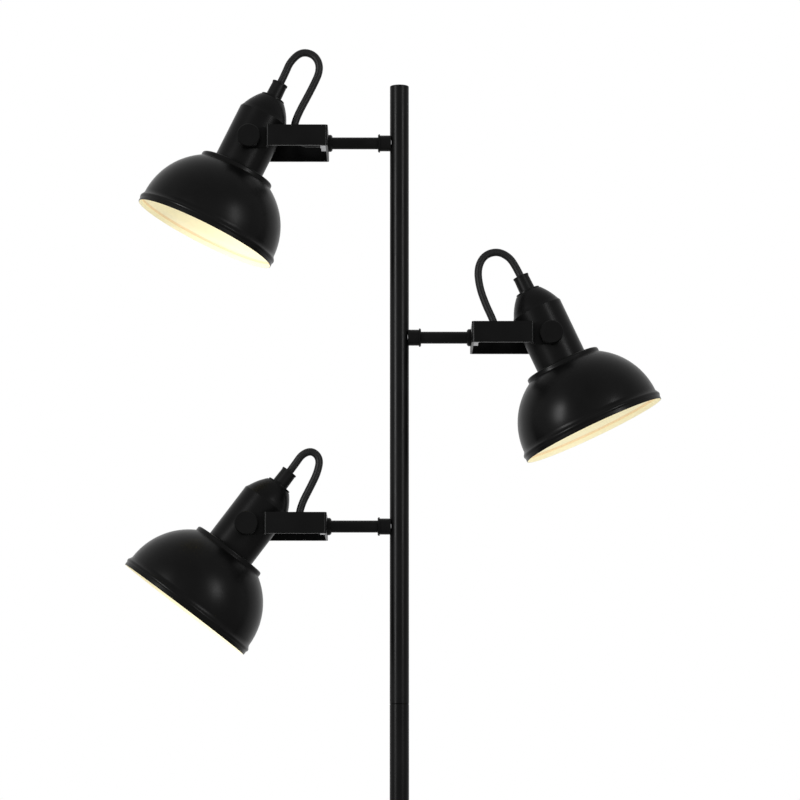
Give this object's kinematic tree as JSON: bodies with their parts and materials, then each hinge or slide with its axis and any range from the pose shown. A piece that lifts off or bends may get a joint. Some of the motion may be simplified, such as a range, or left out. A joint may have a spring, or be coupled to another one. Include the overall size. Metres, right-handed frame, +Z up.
{
  "type": "tree floor lamp",
  "caption": "Slim pole floor lamp on a round weighted base, with short side arms that carry tilting dome-shaded heads in swivelling forks.",
  "frame": {"origin": "centre of the base's underside, on the floor and on the pole's axis", "axes": "+Z up along the pole, +X along the middle arm, -Y to the front"},
  "size_m": [0.531, 0.2516, 1.5481],
  "materials": {
    "black_coat": "satin",
    "zinc_steel": "satin",
    "cast_weight": "matte",
    "pad_rubber": "matte",
    "black_plastic": "matte",
    "opal_plastic": "matte",
    "bulb_shell": "satin",
    "cord_braid": "matte"
  },
  "bodies": {
    "stand": {"base_pad": "pad_rubber", "base_weight": "cast_weight", "base_cover": "black_coat", "cord_inlet_grommet": "black_plastic", "base_fixings": "zinc_steel", "base_stud": "zinc_steel", "pole_foot_collar": "black_coat", "pole_lower": "black_coat", "pole_middle": "black_coat", "pole_upper": "black_coat", "pole_inserts": "zinc_steel", "pole_cap": "black_coat", "arm_nipples": "zinc_steel", "arm_nuts": "zinc_steel", "fork_washers": "black_coat", "upper_arm_ferrule": "black_coat", "upper_arm_tube": "black_coat", "middle_arm_ferrule": "black_coat", "middle_arm_tube": "black_coat", "lower_arm_ferrule": "black_coat", "lower_arm_tube": "black_coat"},
    "upper_fork": {"upper_fork": "black_coat", "upper_knob_washers": "black_coat", "upper_head_cord": "cord_braid"},
    "middle_fork": {"middle_fork": "black_coat", "middle_knob_washers": "black_coat", "middle_head_cord": "cord_braid"},
    "lower_fork": {"lower_fork": "black_coat", "lower_knob_washers": "black_coat", "lower_head_cord": "cord_braid"},
    "upper_head": {"upper_neck_housing": "black_coat", "upper_top_cap": "black_coat", "upper_cord_grip": "black_plastic", "upper_lampholder": "black_plastic", "upper_shade_ring": "black_plastic", "upper_shade": "black_coat", "upper_bulb_cap": "bulb_shell", "upper_bulb_globe": "opal_plastic"},
    "middle_head": {"middle_neck_housing": "black_coat", "middle_top_cap": "black_coat", "middle_cord_grip": "black_plastic", "middle_lampholder": "black_plastic", "middle_shade_ring": "black_plastic", "middle_shade": "black_coat", "middle_bulb_cap": "bulb_shell", "middle_bulb_globe": "opal_plastic"},
    "lower_head": {"lower_neck_housing": "black_coat", "lower_top_cap": "black_coat", "lower_cord_grip": "black_plastic", "lower_lampholder": "black_plastic", "lower_shade_ring": "black_plastic", "lower_shade": "black_coat", "lower_bulb_cap": "bulb_shell", "lower_bulb_globe": "opal_plastic"},
    "upper_front_knob": {"upper_front_knob": "black_coat"},
    "upper_rear_knob": {"upper_rear_knob": "black_coat"},
    "middle_front_knob": {"middle_front_knob": "black_coat"},
    "middle_rear_knob": {"middle_rear_knob": "black_coat"},
    "lower_front_knob": {"lower_front_knob": "black_coat"},
    "lower_rear_knob": {"lower_rear_knob": "black_coat"}
  },
  "joints": [
    {"name": "upper_fork_swivel", "type": "hinge", "parent": "stand", "child": "upper_fork", "pos_m": [-0.15, 0, 1.451], "axis": [-1, 0, 0], "range_deg": [-90, 90]},
    {"name": "middle_fork_swivel", "type": "hinge", "parent": "stand", "child": "middle_fork", "pos_m": [0.15, 0, 1.2535], "axis": [1, 0, 0], "range_deg": [-90, 90]},
    {"name": "lower_fork_swivel", "type": "hinge", "parent": "stand", "child": "lower_fork", "pos_m": [-0.15, 0, 1.0645], "axis": [-1, 0, 0], "range_deg": [-90, 90]},
    {"name": "upper_head_tilt", "type": "hinge", "parent": "upper_fork", "child": "upper_head", "pos_m": [-0.15, 0, 1.451], "axis": [0, 1, 0], "range_deg": [-56, 44], "deforming": ["upper_head_cord"]},
    {"name": "middle_head_tilt", "type": "hinge", "parent": "middle_fork", "child": "middle_head", "pos_m": [0.15, 0, 1.2535], "axis": [0, -1, 0], "range_deg": [-55, 45], "deforming": ["middle_head_cord"]},
    {"name": "lower_head_tilt", "type": "hinge", "parent": "lower_fork", "child": "lower_head", "pos_m": [-0.15, 0, 1.0645], "axis": [0, 1, 0], "range_deg": [-67, 33], "deforming": ["lower_head_cord"]},
    {"name": "upper_front_knob_turn", "type": "hinge", "parent": "upper_head", "child": "upper_front_knob", "pos_m": [-0.15, -0.0347, 1.451], "axis": [0, -1, 0], "range_deg": [0, 360]},
    {"name": "upper_rear_knob_turn", "type": "hinge", "parent": "upper_head", "child": "upper_rear_knob", "pos_m": [-0.15, 0.0347, 1.451], "axis": [0, 1, 0], "range_deg": [0, 360]},
    {"name": "middle_front_knob_turn", "type": "hinge", "parent": "middle_head", "child": "middle_front_knob", "pos_m": [0.15, -0.0347, 1.2535], "axis": [0, -1, 0], "range_deg": [0, 360]},
    {"name": "middle_rear_knob_turn", "type": "hinge", "parent": "middle_head", "child": "middle_rear_knob", "pos_m": [0.15, 0.0347, 1.2535], "axis": [0, 1, 0], "range_deg": [0, 360]},
    {"name": "lower_front_knob_turn", "type": "hinge", "parent": "lower_head", "child": "lower_front_knob", "pos_m": [-0.15, -0.0347, 1.0645], "axis": [0, -1, 0], "range_deg": [0, 360]},
    {"name": "lower_rear_knob_turn", "type": "hinge", "parent": "lower_head", "child": "lower_rear_knob", "pos_m": [-0.15, 0.0347, 1.0645], "axis": [0, 1, 0], "range_deg": [0, 360]}
  ]
}
